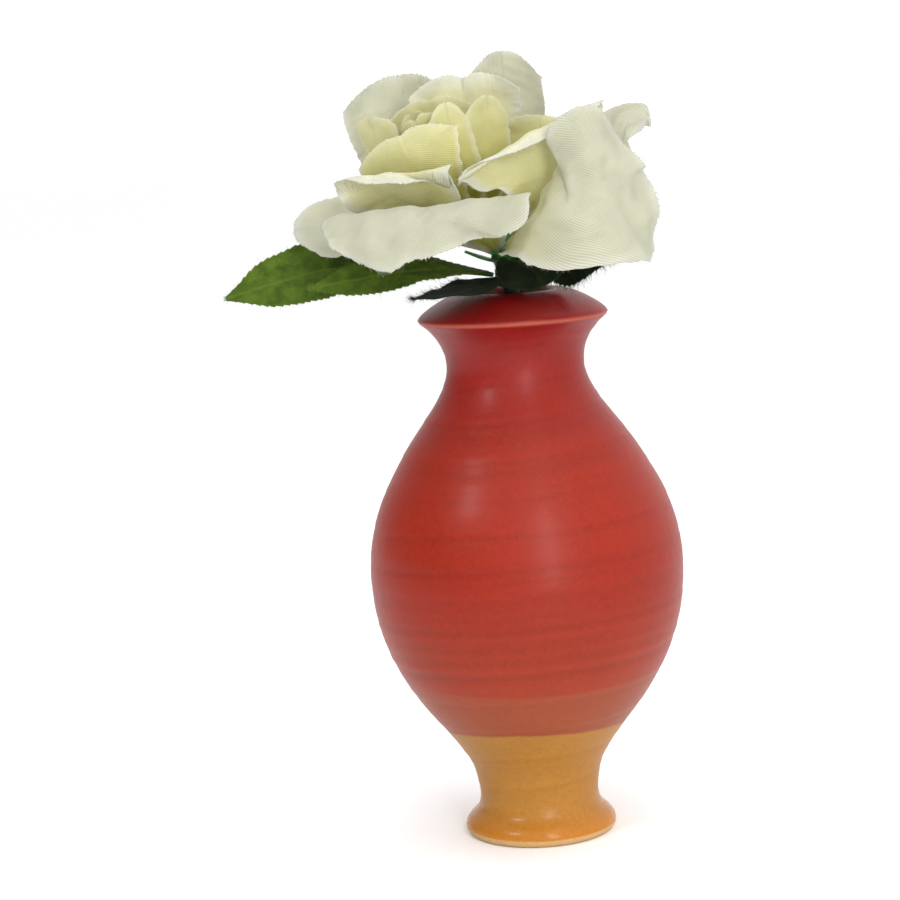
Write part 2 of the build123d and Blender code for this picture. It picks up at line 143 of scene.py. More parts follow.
# ---- petals ----
# rows: a point on the rib, half the width there, and how far the edges rise to the inside.
# across: the direction of the width at the claw and at the tip, counterclockwise from above.
# tip: how far the corners of the tip are rounded off, as a share of the length.
# notch: the depth of the dip in the middle of the tip, as a share of the length.
# slant: how far the tip is cut short on the side that across points to, as a share of the length.
# ruffle and waves: the height and number of the waves along the edge.
# wrinkle: the height of the soft dents all over.
# teeth: the spacing of the saw teeth along a leaf's or sepal's edge.
PETALS = {
    "outer_petal_front": dict(
        look="outer",
        across=((0.95, -0.25, 0.0), (0.99, 0.0, 0.1)),
        rows=[
            (-3.0, -4.6, 142.0, 2.0, 0.3),
            (-7.0, -12.0, 147.0, 8.0, 0.4),
            (-11.8, -20.0, 151.6, 18.0, -1.4),
            (-16.0, -26.6, 154.8, 24.8, -4.2),
            (-19.6, -32.2, 153.0, 24.4, -5.0),
            (-21.6, -36.2, 147.0, 20.5, -4.6),
            (-23.0, -38.0, 139.8, 14.0, -3.4),
        ],
        tip=0.1,
        notch=0.02,
        ruffle=0.6,
        waves=2.3,
        wrinkle=0.5,
        slant=0.3,
    ),
    "outer_petal_right": dict(
        look="outer",
        across=((0.8, 0.3, 0.5), (0.0, 0.4, 0.92)),
        rows=[
            (2.6, -4.4, 141.8, 2.0, 0.3),
            (3.6, -10.5, 145.8, 6.4, 0.6),
            (4.8, -16.4, 149.4, 11.6, 0.6),
            (7.8, -22.0, 152.2, 14.8, 0.0),
            (14.8, -25.6, 152.6, 16.0, -1.0),
            (23.5, -23.4, 156.6, 19.6, -1.5),
            (32.0, -16.0, 160.0, 15.6, -1.0),
        ],
        tip=0.12,
        notch=0.0,
        ruffle=0.9,
        waves=2.6,
        wrinkle=0.7,
    ),
    "outer_petal_right_back": dict(
        look="outer",
        across=((0.0, 0.98, 0.2), (-0.15, 0.9, 0.4)),
        rows=[
            (3.8, 1.2, 142.6, 1.8, 0.3),
            (9.5, 2.4, 148.6, 4.8, 0.8),
            (16.5, 3.4, 157.0, 8.0, 1.2),
            (23.0, 4.0, 165.4, 11.5, 0.0),
            (29.0, 3.4, 170.4, 12.0, -1.0),
            (35.0, 1.6, 170.4, 7.5, -1.0),
        ],
        tip=0.16,
        notch=0.0,
        ruffle=1.2,
        waves=2.2,
        wrinkle=0.5,
    ),
    "outer_petal_back_right": dict(
        look="outer",
        across=((-0.95, 0.25, 0.0), (-0.99, 0.1, 0.0)),
        rows=[
            (-0.4, 4.4, 142.8, 2.0, 0.3),
            (1.2, 11.5, 148.6, 6.0, 1.2),
            (1.2, 18.2, 158.0, 8.6, 1.8),
            (1.1, 22.6, 170.0, 10.0, 1.8),
            (1.1, 25.0, 181.0, 9.6, 1.0),
            (1.1, 25.6, 189.2, 7.8, 0.0),
        ],
        tip=0.14,
        notch=0.0,
        ruffle=1.0,
        waves=2.0,
        wrinkle=0.6,
    ),
    "outer_petal_back_left": dict(
        look="outer",
        across=((-0.6, -0.75, 0.0), (-0.96, -0.22, 0.0)),
        rows=[
            (-5.0, 3.2, 142.8, 2.0, 0.3),
            (-11.0, 9.0, 147.6, 7.0, 1.4),
            (-18.0, 15.2, 156.4, 13.0, 2.4),
            (-22.0, 20.0, 167.0, 16.5, 2.6),
            (-23.5, 23.0, 177.0, 16.2, 1.6),
            (-23.8, 24.0, 185.0, 12.5, 0.8),
        ],
        tip=0.16,
        notch=0.0,
        ruffle=0.9,
        waves=2.0,
        wrinkle=0.5,
    ),
    "outer_petal_left": dict(
        look="outer",
        across=((0.0, -1.0, 0.0), (0.3, -0.62, -0.72)),
        rows=[
            (-5.8, -1.2, 142.4, 1.9, 0.3),
            (-14.0, -1.8, 145.0, 5.6, 0.8),
            (-24.0, -2.4, 147.8, 8.6, 0.8),
            (-35.0, -3.2, 149.8, 11.0, 0.4),
            (-44.0, -3.8, 150.2, 9.6, -0.3),
            (-50.5, -4.0, 149.6, 6.4, -0.5),
        ],
        tip=0.14,
        notch=0.0,
        ruffle=0.5,
        waves=2.4,
        wrinkle=0.4,
    ),
    "middle_petal_right": dict(
        look="middle",
        across=((0.8, 0.5, 0.3), (0.86, 0.25, 0.44)),
        rows=[
            (-0.2, -3.6, 146.4, 1.6, 0.2),
            (4.6, -7.8, 151.6, 6.0, -0.6),
            (7.6, -10.6, 158.4, 12.0, -1.2),
            (6.4, -12.3, 164.9, 18.0, -1.8),
            (5.6, -14.0, 168.6, 20.0, -2.0),
            (6.2, -15.8, 168.6, 20.0, -1.8),
            (7.0, -16.4, 166.8, 18.4, -1.2),
        ],
        tip=0.08,
        notch=0.0,
        ruffle=0.15,
        waves=1.8,
        wrinkle=0.35,
    ),
    "middle_petal_left": dict(
        look="middle",
        across=((0.8, -0.55, -0.1), (0.97, -0.1, -0.1)),
        rows=[
            (-6.6, -4.4, 146.4, 1.6, 0.2),
            (-11.5, -9.0, 149.8, 6.0, 1.0),
            (-18.0, -13.6, 153.6, 11.0, 1.0),
            (-23.4, -16.6, 158.4, 14.0, -0.6),
            (-25.4, -18.4, 161.8, 14.8, -2.6),
            (-26.0, -20.6, 161.8, 14.8, -3.2),
            (-26.2, -21.6, 160.0, 13.6, -3.0),
        ],
        tip=0.13,
        notch=0.0,
        ruffle=0.25,
        waves=1.6,
        wrinkle=0.3,
    ),
    "middle_petal_back": dict(
        look="middle",
        across=((-0.9, -0.4, 0.0), (-1.0, 0.0, -0.05)),
        rows=[
            (-5.6, 3.0, 147.6, 1.6, 0.2),
            (-6.4, 8.0, 152.6, 5.5, 1.2),
            (-7.4, 12.4, 162.0, 10.0, 2.5),
            (-8.4, 14.8, 173.0, 13.0, 2.5),
            (-8.8, 15.4, 184.4, 13.0, 1.2),
        ],
        tip=0.12,
        notch=0.03,
        ruffle=0.8,
        waves=2.4,
        wrinkle=0.4,
    ),
    "middle_petal_back_right": dict(
        look="inner",
        across=((-0.85, 0.4, 0.0), (-0.97, 0.0, -0.2)),
        rows=[
            (-1.0, 2.8, 147.6, 1.6, 0.2),
            (2.6, 4.2, 152.8, 4.5, 0.6),
            (6.0, 5.2, 160.6, 8.0, 1.0),
            (8.6, 5.4, 168.0, 10.6, 1.0),
            (9.4, 5.0, 173.2, 11.0, 0.5),
        ],
        tip=0.14,
        notch=0.0,
        ruffle=0.6,
        waves=1.8,
        wrinkle=0.3,
    ),
    "inner_petal_front": dict(
        look="inner",
        across=((0.9, -0.4, 0.0), (0.97, -0.2, -0.05)),
        rows=[
            (-9.6, -3.4, 151.2, 1.4, 0.2),
            (-13.2, -8.4, 154.6, 5.2, 1.0),
            (-17.8, -12.0, 159.8, 9.8, 2.6),
            (-22.0, -12.8, 166.0, 12.8, 4.0),
            (-24.0, -11.8, 171.4, 12.2, 4.0),
        ],
        tip=0.12,
        notch=0.03,
        ruffle=0.4,
        waves=1.8,
        wrinkle=0.2,
    ),
    "inner_petal_left": dict(
        look="inner",
        across=((0.3, -0.95, 0.0), (0.75, -0.66, 0.0)),
        rows=[
            (-11.0, -0.9, 151.4, 1.2, 0.2),
            (-18.0, 0.2, 154.6, 3.6, 0.6),
            (-24.6, 0.6, 160.4, 5.4, 1.0),
            (-29.0, -0.2, 167.6, 6.8, 1.2),
            (-31.0, -1.6, 175.2, 6.6, 1.0),
        ],
        tip=0.08,
        notch=0.0,
        ruffle=0.4,
        waves=1.5,
        wrinkle=0.2,
    ),
    "inner_petal_back": dict(
        look="inner",
        across=((-1.0, 0.1, 0.0), (-1.0, 0.0, 0.0)),
        rows=[
            (-9.2, 2.8, 152.4, 1.2, 0.2),
            (-11.6, 5.6, 157.0, 4.6, 1.0),
            (-14.2, 7.0, 164.0, 8.5, 2.6),
            (-16.2, 7.4, 172.5, 10.0, 3.0),
            (-17.2, 7.0, 179.0, 9.0, 2.2),
        ],
        tip=0.12,
        notch=0.03,
        ruffle=0.5,
        waves=2.0,
        wrinkle=0.25,
    ),
    "inner_petal_right": dict(
        look="inner",
        across=((0.75, 0.65, 0.0), (0.8, 0.6, 0.0)),
        rows=[
            (-4.8, -1.6, 152.4, 1.2, 0.2),
            (-2.6, -3.0, 157.0, 4.0, 0.5),
            (-2.6, -3.6, 164.0, 6.0, 0.8),
            (-3.0, -2.6, 171.0, 6.4, 0.5),
            (-3.0, -1.2, 178.6, 5.6, 0.2),
        ],
        tip=0.18,
        notch=0.0,
        ruffle=0.4,
        waves=1.5,
        wrinkle=0.2,
    ),
    "inner_petal_front_right": dict(
        look="inner",
        across=((0.97, 0.2, 0.0), (0.97, 0.2, 0.0)),
        rows=[
            (-6.8, -4.2, 153.0, 1.2, 0.2),
            (-7.6, -7.6, 157.0, 3.4, 0.5),
            (-9.6, -9.6, 163.5, 4.6, 0.7),
            (-11.8, -9.0, 171.0, 5.0, 0.6),
            (-12.8, -7.6, 177.6, 4.4, 0.3),
        ],
        tip=0.18,
        notch=0.0,
        ruffle=0.3,
        waves=1.5,
        wrinkle=0.2,
    ),
    "bud_petal_outer": dict(
        look="inner",
        across=((1.0, 0.0, 0.0), (1.0, 0.0, 0.0)),
        rows=[
            (-11.2, -3.8, 157.2, 1.2, 0.2),
            (-13.6, -6.0, 161.2, 3.0, 1.6),
            (-16.8, -6.8, 166.8, 4.6, 3.4),
            (-20.4, -6.9, 174.6, 5.4, 4.2),
        ],
        tip=0.1,
        notch=0.04,
        ruffle=0.3,
        waves=1.5,
        wrinkle=0.15,
    ),
    "bud_petal_inner": dict(
        look="inner",
        across=((-1.0, 0.0, 0.0), (-1.0, 0.0, 0.0)),
        rows=[
            (-13.0, 0.9, 160.4, 0.9, 0.1),
            (-15.2, 1.4, 163.8, 1.7, 1.0),
            (-18.4, 1.3, 168.8, 2.6, 1.8),
            (-21.4, 1.1, 175.6, 3.2, 2.4),
        ],
        tip=0.1,
        notch=0.03,
        ruffle=0.2,
        waves=1.5,
        wrinkle=0.1,
    ),
    "sepal_front": dict(
        look="shade_painted_leaf",
        across=((0.9, -0.4, 0.0), (1.0, 0.0, 0.0)),
        rows=[
            (2.6, -5.0, 138.0, 1.2, 0.1),
            (3.4, -8.2, 139.0, 5.0, 0.3),
            (4.4, -11.6, 139.0, 8.4, 0.5),
            (6.2, -15.0, 137.0, 8.0, 0.5),
            (7.4, -16.6, 134.0, 6.4, 0.3),
        ],
        tip=0.2,
        teeth=1.5,
        wrinkle=0.4,
    ),
}

LEAVES = {
    "leaf_left": dict(
        look="leaf",
        across=((0.05, -0.95, -0.25), (0.0, -0.5, -0.87)),
        rows=[
            (-5.0, -1.0, 136.9, 0.7, 0.0),
            (-16.0, -2.0, 138.4, 4.6, 0.3),
            (-30.0, -2.6, 140.2, 8.4, 0.6),
            (-45.0, -3.4, 139.6, 9.6, 0.8),
            (-58.0, -4.8, 137.0, 6.4, 0.5),
            (-67.4, -6.0, 134.7, 0.5, 0.0),
        ],
        teeth=1.7,
        wrinkle=0.35,
    ),
    "leaf_front_left": dict(
        look="leaf",
        across=((0.7, -0.7, -0.2), (0.3, -0.6, -0.74)),
        rows=[
            (-4.2, -3.6, 136.9, 0.7, 0.0),
            (-11.5, -10.6, 138.6, 3.6, 0.3),
            (-23.0, -16.8, 139.2, 5.6, 0.5),
            (-35.5, -20.0, 138.2, 5.2, 0.4),
            (-46.0, -21.4, 137.0, 0.5, 0.0),
        ],
        teeth=1.5,
        wrinkle=0.3,
    ),
    "leaf_front": dict(
        look="shade_painted_leaf",
        across=((0.9, -0.4, 0.0), (0.75, -0.65, -0.1)),
        rows=[
            (-1.0, -5.2, 136.0, 0.7, 0.0),
            (-4.4, -10.6, 135.5, 5.0, 0.4),
            (-9.8, -15.8, 134.2, 7.0, 0.5),
            (-15.8, -20.4, 133.6, 5.4, 0.3),
            (-22.0, -24.0, 133.4, 0.5, 0.0),
        ],
        teeth=1.6,
        wrinkle=0.4,
    ),
    "leaf_right": dict(
        look="shade_painted_leaf",
        across=((0.0, 0.6, 0.8), (0.0, 0.35, 0.94)),
        rows=[
            (5.0, -1.4, 136.9, 0.7, 0.0),
            (9.8, -3.8, 138.2, 4.4, 0.3),
            (15.8, -7.4, 138.8, 6.2, 0.4),
            (22.8, -11.2, 138.6, 0.5, 0.0),
        ],
        teeth=1.4,
        wrinkle=0.4,
    ),
}
CLOTH_THICKNESS = 0.22
# Points across and along each kind of blade.
BIG_PETAL_GRID = (121, 111)
SMALL_PETAL_GRID = (71, 71)
LEAF_GRID = (61, 241)
# Loose threads at the edge of each kind of blade: how many, and their reach.
BIG_PETAL_FRAY = (320, 1.0)
SMALL_PETAL_FRAY = (120, 1.0)
SEPAL_FRAY = (900, 1.0)
LEAF_FRAY = (420, 1.1)
SHADE_PAINTED_LEAF_FRAY = (1300, 2.2)
FRAY_SIDE_SHARE = 0.62  # of the threads that are at the two sides, and not at the tip

# Spacings in the cloth, in centimetres of flat cloth.
TWILL_PITCH = 0.045
PETAL_THREAD_PITCH = 0.022
LEAF_THREAD_PITCH = 0.04
VEIN_PITCH = 0.42


# ---- curves and noise ----
def along(knots, values, at):
    """Values on the smooth curve through (knots, values), at any array of positions."""
    knots, values = np.asarray(knots, float), np.asarray(values, float)
    last = len(knots) - 1
    low = np.maximum(np.arange(last + 1) - 1, 0)
    high = np.minimum(np.arange(last + 1) + 1, last)
    run = (knots[high] - knots[low])[:, None] if values.ndim > 1 else knots[high] - knots[low]
    slopes = (values[high] - values[low]) / run
    span = np.clip(np.searchsorted(knots, at, side="right") - 1, 0, last - 1)
    width = knots[span + 1] - knots[span]
    t = (at - knots[span]) / width
    if values.ndim > 1:
        t, width = t[..., None], width[..., None]
    blend = t * t * (3 - 2 * t)
    pull = t * (1 - t) ** 2 * slopes[span] + t * t * (t - 1) * slopes[span + 1]
    return values[span] + (values[span + 1] - values[span]) * blend + pull * width


def unit(vectors):
    """The same directions at length 1."""
    return vectors / np.linalg.norm(vectors, axis=-1, keepdims=True)


def waviness(x, y, size, seed, waves=7):
    """Smooth seeded noise from -1 to 1 over two arrays in mm, with features about size mm."""
    dice = np.random.default_rng(seed)
    total = 0.0
    for _ in range(waves):
        turn = dice.uniform(0, 2 * math.pi)
        pitch = size * dice.uniform(0.7, 1.8)
        phase = dice.uniform(0, 2 * math.pi)
        reach = (x * math.cos(turn) + y * math.sin(turn)) * 2 * math.pi / pitch
        total = total + np.sin(reach + phase)
    return total / math.sqrt(waves) / 1.4


# ---- meshes ----
def mesh_piece(name, points, faces, material, body, smooth=True):
    """A mesh object in metres from points in mm, riding on one CAD body."""
    mesh = bpy.data.meshes.new(name)
    mesh.from_pydata([tuple(p) for p in np.asarray(points) * MM], [], faces)
    mesh.polygons.foreach_set("use_smooth", [smooth] * len(mesh.polygons))
    mesh.materials.append(material)
    mesh.update()
    piece = bpy.data.objects.new(name, mesh)
    bpy.context.scene.collection.objects.link(piece)
    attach(piece, body)
    return piece


def grid_faces(lines, columns, closed=False):
    """Quads of a lines by columns grid of points, joined round in columns if closed."""
    faces = []
    for i in range(lines - 1):
        for j in range(columns if closed else columns - 1):
            k = (j + 1) % columns
            faces.append((i * columns + j, i * columns + k, (i + 1) * columns + k, (i + 1) * columns + j))
    return faces


def set_numbers(mesh, name, values):
    """One number for each point, for the materials to read."""
    layer = mesh.attributes.new(name, "FLOAT", "POINT")
    layer.data.foreach_set("value", np.asarray(values, np.float32).ravel())


def set_cloth_map(mesh, across, lengthwise):
    """A UV map in centimetres of flat cloth."""
    layer = mesh.uv_layers.new(name="cloth")
    corner = np.empty(len(mesh.loops), int)
    mesh.loops.foreach_get("vertex_index", corner)
    flat = np.stack([across.ravel()[corner], lengthwise.ravel()[corner]], 1) * 0.1
    layer.data.foreach_set("uv", flat.astype(np.float32).ravel())


# ---- materials ----
class Graph:
    """A node material under construction."""

    def __init__(self, name):
        self.material = bpy.data.materials.new(name)
        self.material.use_nodes = True
        self.tree = self.material.node_tree
        self.tree.nodes.clear()

    def add(self, kind, inputs=(), **settings):
        node = self.tree.nodes.new(kind)
        for key, value in settings.items():
            setattr(node, key, value)
        for key, value in dict(inputs).items():
            self.feed(node.inputs[key], value)
        return node

    def feed(self, socket, value):
        if isinstance(value, bpy.types.NodeSocket):
            self.tree.links.new(value, socket)
        else:
            socket.default_value = value

    def math(self, operation, first, second=0.0, third=0.0):
        inputs = {0: first, 1: second, 2: third}
        return self.add("ShaderNodeMath", inputs, operation=operation).outputs[0]

    def mix(self, factor, first, second, blend="MIX"):
        inputs = {0: factor, 6: first, 7: second}
        return self.add("ShaderNodeMix", inputs, data_type="RGBA", blend_type=blend).outputs[2]

    def noise(self, vector, scale, detail=2.0, roughness=0.5):
        inputs = {"Vector": vector, "Scale": scale, "Detail": detail, "Roughness": roughness}
        return self.add("ShaderNodeTexNoise", inputs).outputs["Fac"]

    def step(self, value, start, end):
        inputs = {"Value": value, "From Min": start, "From Max": end}
        return self.add("ShaderNodeMapRange", inputs, interpolation_type="SMOOTHSTEP").outputs[0]

    def ramp(self, value, stops):
        node = self.add("ShaderNodeValToRGB", {"Fac": value})
        for i, (place, colour) in enumerate(stops):
            mark = node.color_ramp.elements[i] if i < 2 else node.color_ramp.elements.new(place)
            mark.position = place
            mark.color = (*colour, 1)
        return node.outputs[0]

    def bump(self, height, distance, strength=1.0, normal=None):
        inputs = {"Height": height, "Distance": distance, "Strength": strength}
        if normal is not None:
            inputs["Normal"] = normal
        return self.add("ShaderNodeBump", inputs).outputs[0]

    def attribute(self, name):
        return self.add("ShaderNodeAttribute", attribute_name=name).outputs["Fac"]

    def finish(self, shader):
        self.add("ShaderNodeOutputMaterial", {"Surface": shader})
        return self.material


def glaze_material():
    """Satin coral glaze over amber, with throwing marks, speckle and a bare foot rim."""
    g = Graph("vase_glaze")
    place = g.add("ShaderNodeTexCoord").outputs["Object"]
    parts = g.add("ShaderNodeSeparateXYZ", {0: place})
    x, y, z = parts.outputs
    ring = g.attribute("ring")
    radius = g.math("SQRT", g.math("ADD", g.math("MULTIPLY", x, x), g.math("MULTIPLY", y, y)))
    slow = g.math("SUBTRACT", g.noise(place, 45.0, 2.0), 0.5)
    fine = g.math("SUBTRACT", g.noise(place, 700.0, 3.0), 0.5)
    speck = g.math("SUBTRACT", g.noise(place, 2600.0, 2.0, 0.7), 0.5)
    # Red to orange at about 40.5 mm. Orange to amber at about 26 mm, and higher at the front.
    edge = g.math("ADD", z, g.math("MULTIPLY", slow, 0.0022))
    edge = g.math("ADD", edge, g.math("MULTIPLY", fine, 0.0007))
    red_zone = g.step(edge, *RED_LINE)
    tilted = g.math("MULTIPLY_ADD", y, 0.12, edge)
    orange_zone = g.step(tilted, *ORANGE_LINE)
    # Red glaze up the height. The last stop, at the lip top and just inside the mouth, darkens the red:
    # painted shade from the flower head above.
    red = g.ramp(
        g.math("MULTIPLY", z, 7.2),
        [
            (0.28, (0.265, 0.030, 0.009)),
            (0.95, (0.19, 0.006, 0.006)),
            (0.46, (0.258, 0.014, 0.003)),
            (0.66, (0.255, 0.015, 0.004)),
            (0.82, (0.220, 0.009, 0.005)),
        ],
    )
    orange_stops = [(0.50, (0.265, 0.058, 0.018)), (0.85, (0.255, 0.044, 0.016))]
    orange = g.ramp(g.math("MULTIPLY", z, 20.0), orange_stops)
    amber = g.ramp(
        g.math("MULTIPLY", z, 30.0),
        [(0.05, (0.44, 0.155, 0.014)), (0.9, (0.34, 0.150, 0.022)), (0.22, (0.36, 0.155, 0.022))],
    )
    colour = g.mix(orange_zone, amber, orange)
    colour = g.mix(red_zone, colour, red)
    lip_height = g.math("ABSOLUTE", g.math("SUBTRACT", z, LIP_EDGE_HEIGHT))
    lip = g.math("MULTIPLY", g.step(lip_height, 0.0008, 0.0), g.step(radius, 0.0212, 0.0224))
    colour = g.mix(g.math("MULTIPLY", lip, 0.6), colour, (0.42, 0.105, 0.055, 1))
    bare = g.step(g.math("ADD", z, g.math("MULTIPLY", slow, 0.0006)), *BARE_LINE)
    colour = g.mix(bare, colour, (0.52, 0.33, 0.14, 1))
    shade = g.math("MULTIPLY_ADD", ring, 0.9, 1.0)
    shade = g.math("ADD", shade, g.math("MULTIPLY", speck, 0.5))
    shade = g.math("ADD", shade, g.math("MULTIPLY", fine, 0.28))
    shade = g.math("ADD", shade, g.math("MULTIPLY", slow, 0.22))
    tone = g.add("ShaderNodeCombineColor", {0: shade, 1: shade, 2: shade}).outputs[0]
    colour = g.mix(1.0, colour, tone, "MULTIPLY")
    rough = g.math("MULTIPLY_ADD", fine, 0.18, 0.43)
    rough = g.math("MULTIPLY_ADD", g.step(z, 0.012, 0.004), -0.2, rough)
    rough = g.math("MULTIPLY_ADD", bare, 0.4, rough)
    normal = g.bump(g.noise(place, 1500.0, 3.0, 0.6), 0.00006, 0.6)
    normal = g.bump(g.noise(place, 260.0, 2.0), 0.0002, 0.4, normal)
    shader = g.add(
        "ShaderNodeBsdfPrincipled",
        {
            "Base Color": colour,
            "Roughness": rough,
            "Normal": normal,
            "Coat Weight": 0.06,
            "Coat Roughness": 0.22,
            "Specular IOR Level": 0.20,
        },
    ).outputs[0]
    return g.finish(shader)


def cloth_material(name, claw_stops, rim_colour, rim_width, twill=0.6, see_through=0.35, roughness=0.75):
    """Thin woven polyester: dyed from the claw out, with diagonal twill and a paler rim."""
    g = Graph(name)
    flat = g.add("ShaderNodeUVMap", uv_map="cloth").outputs[0]
    parts = g.add("ShaderNodeSeparateXYZ", {0: flat})
    u, v = parts.outputs[0], parts.outputs[1]
    claw, rim = g.attribute("claw"), g.attribute("rim")
    blotch = g.math("SUBTRACT", g.noise(flat, 1.3, 2.0), 0.5)
    thread = g.noise(flat, 55.0, 1.0)
    dyed = g.math("MULTIPLY_ADD", blotch, 9.0, claw)
    colour = g.ramp(g.math("MULTIPLY", dyed, 0.02), claw_stops)
    edge = g.step(g.math("MULTIPLY_ADD", blotch, 2.0, rim), rim_width, 0.0)
    colour = g.mix(edge, colour, (*rim_colour, 1))
    # Twill lines run diagonally, 0.45 mm apart, over finer threads.
    lean = g.math("MULTIPLY_ADD", u, 0.60, g.math("MULTIPLY", v, 0.80))
    lines = g.math("SINE", g.math("MULTIPLY", lean, 2 * math.pi / TWILL_PITCH))
    warp = g.math("SINE", g.math("MULTIPLY", u, 2 * math.pi / PETAL_THREAD_PITCH))
    weft = g.math("SINE", g.math("MULTIPLY", v, 2 * math.pi / PETAL_THREAD_PITCH))
    weave = g.math("MULTIPLY_ADD", g.math("MULTIPLY", warp, weft), 0.3, lines)
    strength = g.math("MULTIPLY_ADD", g.noise(flat, 2.2, 1.0), 0.8, 0.6)
    weave = g.math("MULTIPLY", weave, strength)
    shade = g.math("MULTIPLY_ADD", weave, 0.11 * twill, 0.92)
    shade = g.math("MULTIPLY_ADD", g.math("SUBTRACT", thread, 0.5), 0.22, shade)
    shade = g.math("MULTIPLY_ADD", blotch, 0.22, shade)
    tone = g.add("ShaderNodeCombineColor", {0: shade, 1: shade, 2: shade}).outputs[0]
    colour = g.mix(1.0, colour, tone, "MULTIPLY")
    normal = g.bump(weave, 0.00006, 0.45 * twill)
    normal = g.bump(thread, 0.00006, 0.5, normal)
    normal = g.bump(g.noise(flat, 5.0, 3.0), 0.0006, 0.5, normal)
    front = g.add(
        "ShaderNodeBsdfPrincipled",
        {
            "Base Color": colour,
            "Roughness": roughness,
            "Normal": normal,
            "Sheen Weight": 0.12,
            "Specular IOR Level": 0.3,
        },
    ).outputs[0]
    back = g.add("ShaderNodeBsdfTranslucent", {"Color": colour}).outputs[0]
    mixed = g.add("ShaderNodeMixShader", {0: see_through, 1: front, 2: back}).outputs[0]
    return g.finish(mixed)


def leaf_material(name, light, dark, vein_colour):
    """Woven leaf cloth with printed side veins, paler along the rib and the cut edge."""
    g = Graph(name)
    flat = g.add("ShaderNodeUVMap", uv_map="cloth").outputs[0]
    parts = g.add("ShaderNodeSeparateXYZ", {0: flat})
    u, v = parts.outputs[0], parts.outputs[1]
    rim = g.attribute("rim")
    out = g.math("ABSOLUTE", u)
    blotch = g.step(g.noise(flat, 2.4, 4.0, 0.65), 0.3, 0.7)
    colour = g.mix(blotch, (*dark, 1), (*light, 1))
    side = g.math("MULTIPLY_ADD", out, -1.1, v)
    vein = g.math("ABSOLUTE", g.math("SINE", g.math("MULTIPLY", side, math.pi / VEIN_PITCH)))
    vein = g.math("MULTIPLY", g.step(vein, 0.25, 0.0), 0.3)
    rib = g.step(out, 0.07, 0.02)
    vein = g.math("MAXIMUM", vein, rib)
    colour = g.mix(g.math("MULTIPLY", vein, 0.4), colour, (*vein_colour, 1))
    edge = g.step(rim, 0.5, 0.0)
    colour = g.mix(g.math("MULTIPLY", edge, 0.5), colour, (*vein_colour, 1))
    warp = g.math("SINE", g.math("MULTIPLY", u, 2 * math.pi / LEAF_THREAD_PITCH))
    weft = g.math("SINE", g.math("MULTIPLY", v, 2 * math.pi / LEAF_THREAD_PITCH))
    weave = g.math("MULTIPLY", warp, weft)
    thread = g.noise(flat, 40.0, 2.0)
    shade = g.math("MULTIPLY_ADD", weave, 0.2, 0.98)
    shade = g.math("MULTIPLY_ADD", g.math("SUBTRACT", thread, 0.5), 0.9, shade)
    tone = g.add("ShaderNodeCombineColor", {0: shade, 1: shade, 2: shade}).outputs[0]
    colour = g.mix(1.0, colour, tone, "MULTIPLY")
    normal = g.bump(weave, 0.00008, 0.6)
    normal = g.bump(g.math("SUBTRACT", 1.0, vein), 0.0002, 0.7, normal)
    shader = g.add(
        "ShaderNodeBsdfPrincipled",
        {
            "Base Color": colour,
            "Roughness": 0.7,
            "Normal": normal,
            "Sheen Weight": 0.02,
            "Specular IOR Level": 0.12,
        },
    ).outputs[0]
    return g.finish(shader)


def plain_material(name, colour, roughness, grain, metallic=0.0):
    """Moulded plastic, wire or thread with slight colour and surface variation."""
    g = Graph(name)
    place = g.add("ShaderNodeTexCoord").outputs["Object"]
    slow = g.noise(place, 120.0, 3.0)
    dark = tuple(c * 0.62 for c in colour)
    mixed = g.mix(slow, (*dark, 1), (*colour, 1))
    rough = g.math("MULTIPLY_ADD", g.noise(place, 900.0), 0.2, roughness - 0.1)
    normal = g.bump(g.noise(place, grain, 3.0), 0.0001, 0.35)
    inputs = {"Base Color": mixed, "Roughness": rough, "Metallic": metallic, "Normal": normal}
    shader = g.add("ShaderNodeBsdfPrincipled", inputs).outputs[0]
    return g.finish(shader)


GLAZE = glaze_material()
LOOKS = {
    "outer": cloth_material(
        "outer_petal_cloth",
        [(0.10, (0.50, 0.50, 0.10)), (0.56, (0.66, 0.66, 0.52)), (0.32, (0.64, 0.63, 0.36))],
        (0.72, 0.72, 0.62),
        3.0,
        twill=1.0,
        see_through=0.45,
    ),
    "middle": cloth_material(
        "middle_petal_cloth",
        [(0.08, (0.56, 0.54, 0.12)), (0.75, (0.78, 0.76, 0.52)), (0.30, (0.76, 0.73, 0.36))],
        (0.76, 0.76, 0.65),
        4.5,
    ),
    "inner": cloth_material(
        "inner_petal_cloth",
        [(0.06, (0.50, 0.47, 0.09)), (0.60, (0.76, 0.74, 0.45)), (0.28, (0.68, 0.65, 0.25))],
        (0.78, 0.76, 0.52),
        2.0,
        twill=0.7,
        see_through=0.42,
    ),
    "leaf": leaf_material("leaf_cloth", (0.075, 0.128, 0.008), (0.034, 0.066, 0.004), (0.10, 0.155, 0.015)),
    # Green leaf cloth painted near black: painted shade, for leaf_front, leaf_right and the sepal, which lie
    # in the shadow under the flower head.
    "shade_painted_leaf": leaf_material(
        "dark_leaf_cloth", (0.006, 0.014, 0.003), (0.002, 0.005, 0.001), (0.012, 0.03, 0.005)
    ),
}
PLASTIC = plain_material("green_plastic", (0.03, 0.20, 0.03), 0.45, 1800.0)
